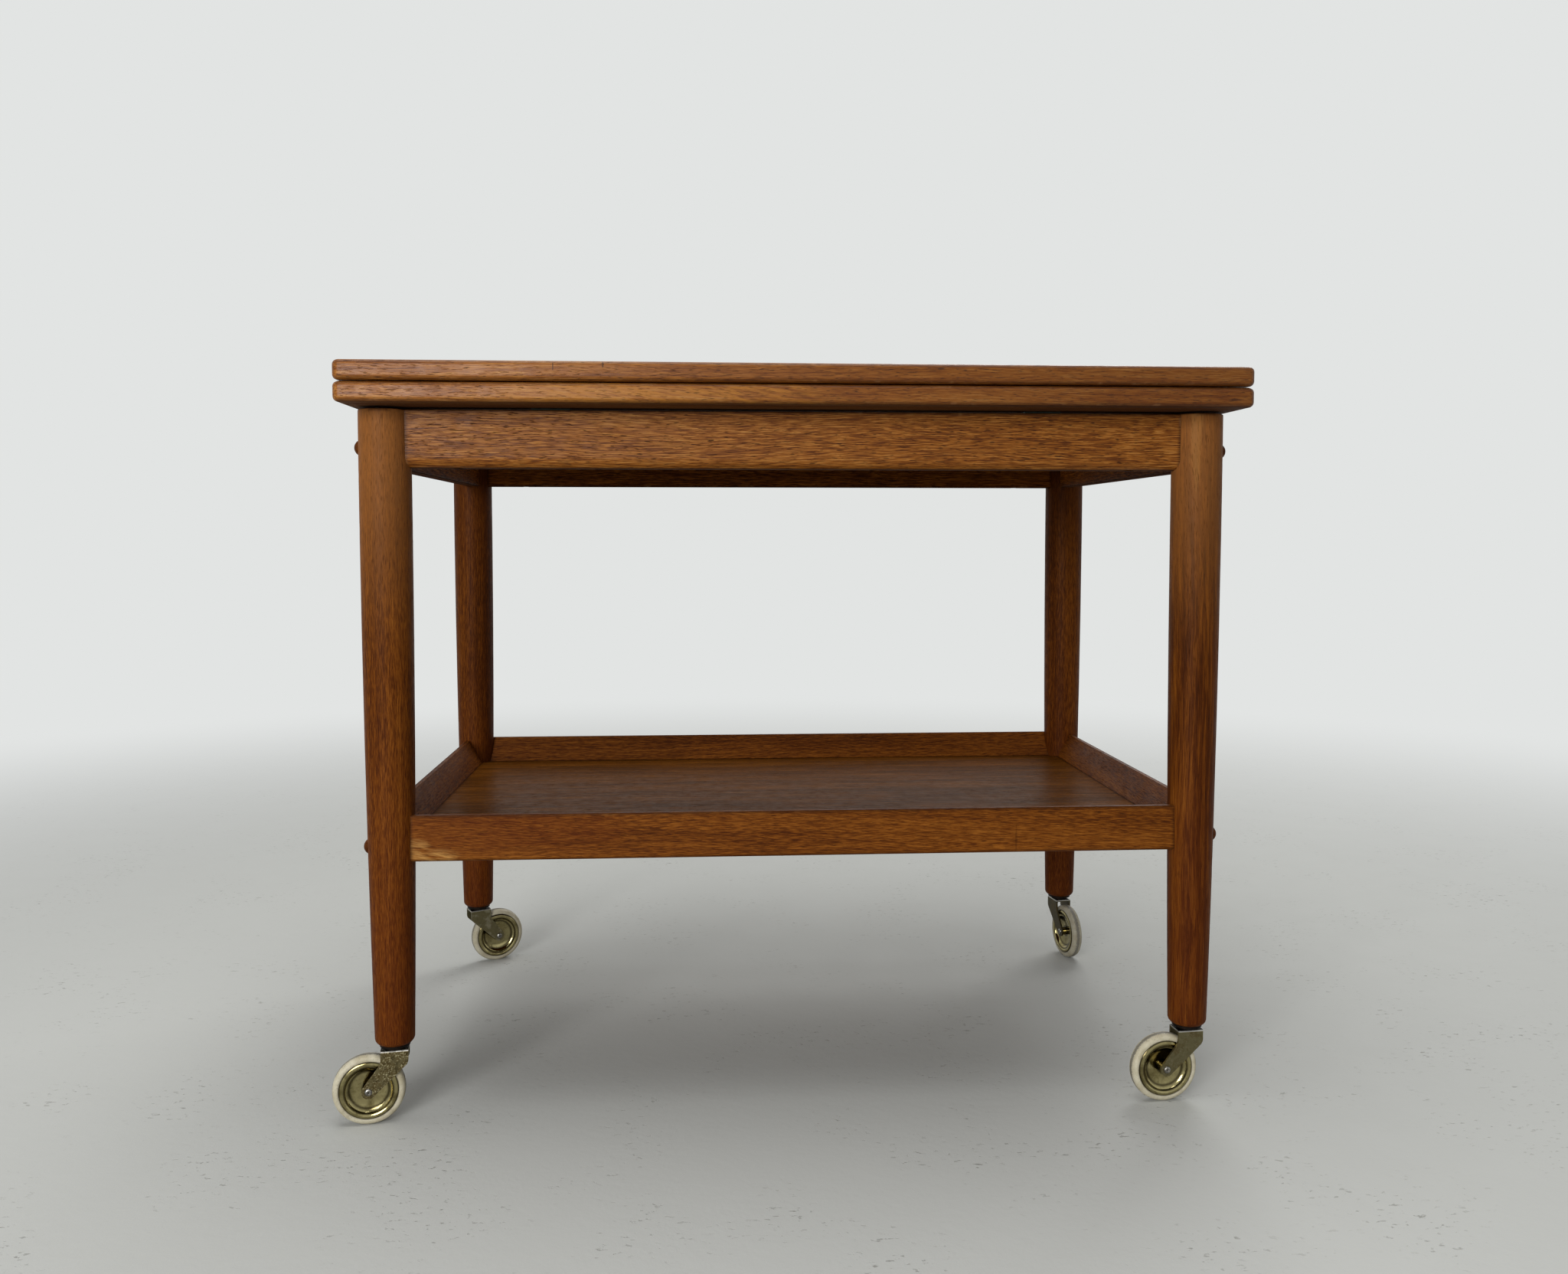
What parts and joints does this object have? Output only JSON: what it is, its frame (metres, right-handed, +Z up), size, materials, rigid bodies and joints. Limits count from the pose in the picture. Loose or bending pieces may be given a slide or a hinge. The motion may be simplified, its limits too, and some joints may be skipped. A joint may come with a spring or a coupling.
{
  "type": "fold-over tea trolley",
  "caption": "Round-legged teak tea trolley on casters with a raised-rim tray and a sliding top whose upper leaf folds back to double the surface.",
  "frame": {"origin": "on the floor, midway between the four leg axes", "axes": "+X to the right along the top as seen from the front, +Y to the back where the leaf hinges are, +Z up"},
  "size_m": [0.7423, 0.4948, 0.615],
  "materials": {
    "teak_veneer": "satin oiled teak veneer",
    "teak_lipping": "satin oiled solid teak",
    "teak_leg": "satin oiled solid teak, grain upright",
    "teak_apron": "satin oiled solid teak",
    "teak_rim": "satin oiled solid teak",
    "teak_tray": "satin oiled teak veneer",
    "teak_plug": "satin oiled teak",
    "beech": "plain planed beech",
    "plated_steel": "zinc plated",
    "brass": "worn brass",
    "caster_nickel": "dull nickel plate",
    "caster_dark": "blackened steel",
    "caster_steel": "worn steel",
    "cream_rubber": "aged cream rubber",
    "felt": "pressed felt"
  },
  "bodies": {
    "frame": {"apron_front": "teak_apron", "apron_left": "teak_apron", "apron_rear": "teak_apron", "apron_right": "teak_apron", "barrel_nuts": "plated_steel", "bolt_plugs": "teak_plug", "caster_sockets": "caster_dark", "frame_bolts": "plated_steel", "frame_dowels": "beech", "glide_pads": "felt", "leg_front_left": "teak_leg", "leg_front_right": "teak_leg", "leg_rear_left": "teak_leg", "leg_rear_right": "teak_leg", "rail_left": "beech", "rail_right": "beech", "rail_screws": "plated_steel", "tray_panel": "teak_tray", "tray_rim_front": "teak_rim", "tray_rim_left": "teak_rim", "tray_rim_rear": "teak_rim", "tray_rim_right": "teak_rim"},
    "lower_leaf": {"hinge_lower_plates": "brass", "hinge_lower_screws": "brass", "hinge_pins": "brass", "lower_leaf_lipping_front": "teak_lipping", "lower_leaf_lipping_left": "teak_lipping", "lower_leaf_lipping_rear": "teak_lipping", "lower_leaf_lipping_right": "teak_lipping", "lower_leaf_panel": "teak_veneer", "runner_left": "beech", "runner_right": "beech", "runner_screws": "plated_steel"},
    "upper_leaf": {"hinge_upper_plates": "brass", "hinge_upper_screws": "brass", "upper_leaf_lipping_front": "teak_lipping", "upper_leaf_lipping_left": "teak_lipping", "upper_leaf_lipping_rear": "teak_lipping", "upper_leaf_lipping_right": "teak_lipping", "upper_leaf_panel": "teak_veneer"},
    "caster_front_left": {"caster_front_left_axle": "caster_steel", "caster_front_left_fork": "caster_nickel", "caster_front_left_stem": "caster_dark"},
    "wheel_front_left": {"caster_front_left_discs": "brass", "caster_front_left_tyre": "cream_rubber"},
    "caster_front_right": {"caster_front_right_axle": "caster_steel", "caster_front_right_fork": "caster_nickel", "caster_front_right_stem": "caster_dark"},
    "wheel_front_right": {"caster_front_right_discs": "brass", "caster_front_right_tyre": "cream_rubber"},
    "caster_rear_left": {"caster_rear_left_axle": "caster_steel", "caster_rear_left_fork": "caster_nickel", "caster_rear_left_stem": "caster_dark"},
    "wheel_rear_left": {"caster_rear_left_discs": "brass", "caster_rear_left_tyre": "cream_rubber"},
    "caster_rear_right": {"caster_rear_right_axle": "caster_steel", "caster_rear_right_fork": "caster_nickel", "caster_rear_right_stem": "caster_dark"},
    "wheel_rear_right": {"caster_rear_right_discs": "brass", "caster_rear_right_tyre": "cream_rubber"}
  },
  "joints": [
    {"name": "top_slide", "type": "slide", "parent": "frame", "child": "lower_leaf", "axis": [0, -1, 0], "range_m": [0, 0.246]},
    {"name": "leaf_fold", "type": "hinge", "parent": "lower_leaf", "child": "upper_leaf", "pos_m": [0, 0.2463, 0.599], "axis": [-1, 0, 0], "range_deg": [0, 180]},
    {"name": "swivel_front_left", "type": "hinge", "parent": "frame", "child": "caster_front_left", "pos_m": [-0.3325, -0.195, 0.062], "axis": [0, 0, 1], "continuous": true},
    {"name": "spin_front_left", "type": "hinge", "parent": "caster_front_left", "child": "wheel_front_left", "pos_m": [-0.35324, -0.19828, 0.029], "axis": [0.1564, -0.9877, 0], "continuous": true},
    {"name": "swivel_front_right", "type": "hinge", "parent": "frame", "child": "caster_front_right", "pos_m": [0.3325, -0.195, 0.062], "axis": [0, 0, 1], "continuous": true},
    {"name": "spin_front_right", "type": "hinge", "parent": "caster_front_right", "child": "wheel_front_right", "pos_m": [0.31158, -0.19683, 0.029], "axis": [0.0872, -0.9962, 0], "continuous": true},
    {"name": "swivel_rear_left", "type": "hinge", "parent": "frame", "child": "caster_rear_left", "pos_m": [-0.3325, 0.195, 0.062], "axis": [0, 0, 1], "continuous": true},
    {"name": "spin_rear_left", "type": "hinge", "parent": "caster_rear_left", "child": "wheel_rear_left", "pos_m": [-0.31396, 0.20486, 0.029], "axis": [-0.4695, 0.8829, 0], "continuous": true},
    {"name": "swivel_rear_right", "type": "hinge", "parent": "frame", "child": "caster_rear_right", "pos_m": [0.3325, 0.195, 0.062], "axis": [0, 0, 1], "continuous": true},
    {"name": "spin_rear_right", "type": "hinge", "parent": "caster_rear_right", "child": "wheel_rear_right", "pos_m": [0.33615, 0.17432, 0.029], "axis": [0.9848, 0.1736, 0], "continuous": true}
  ]
}
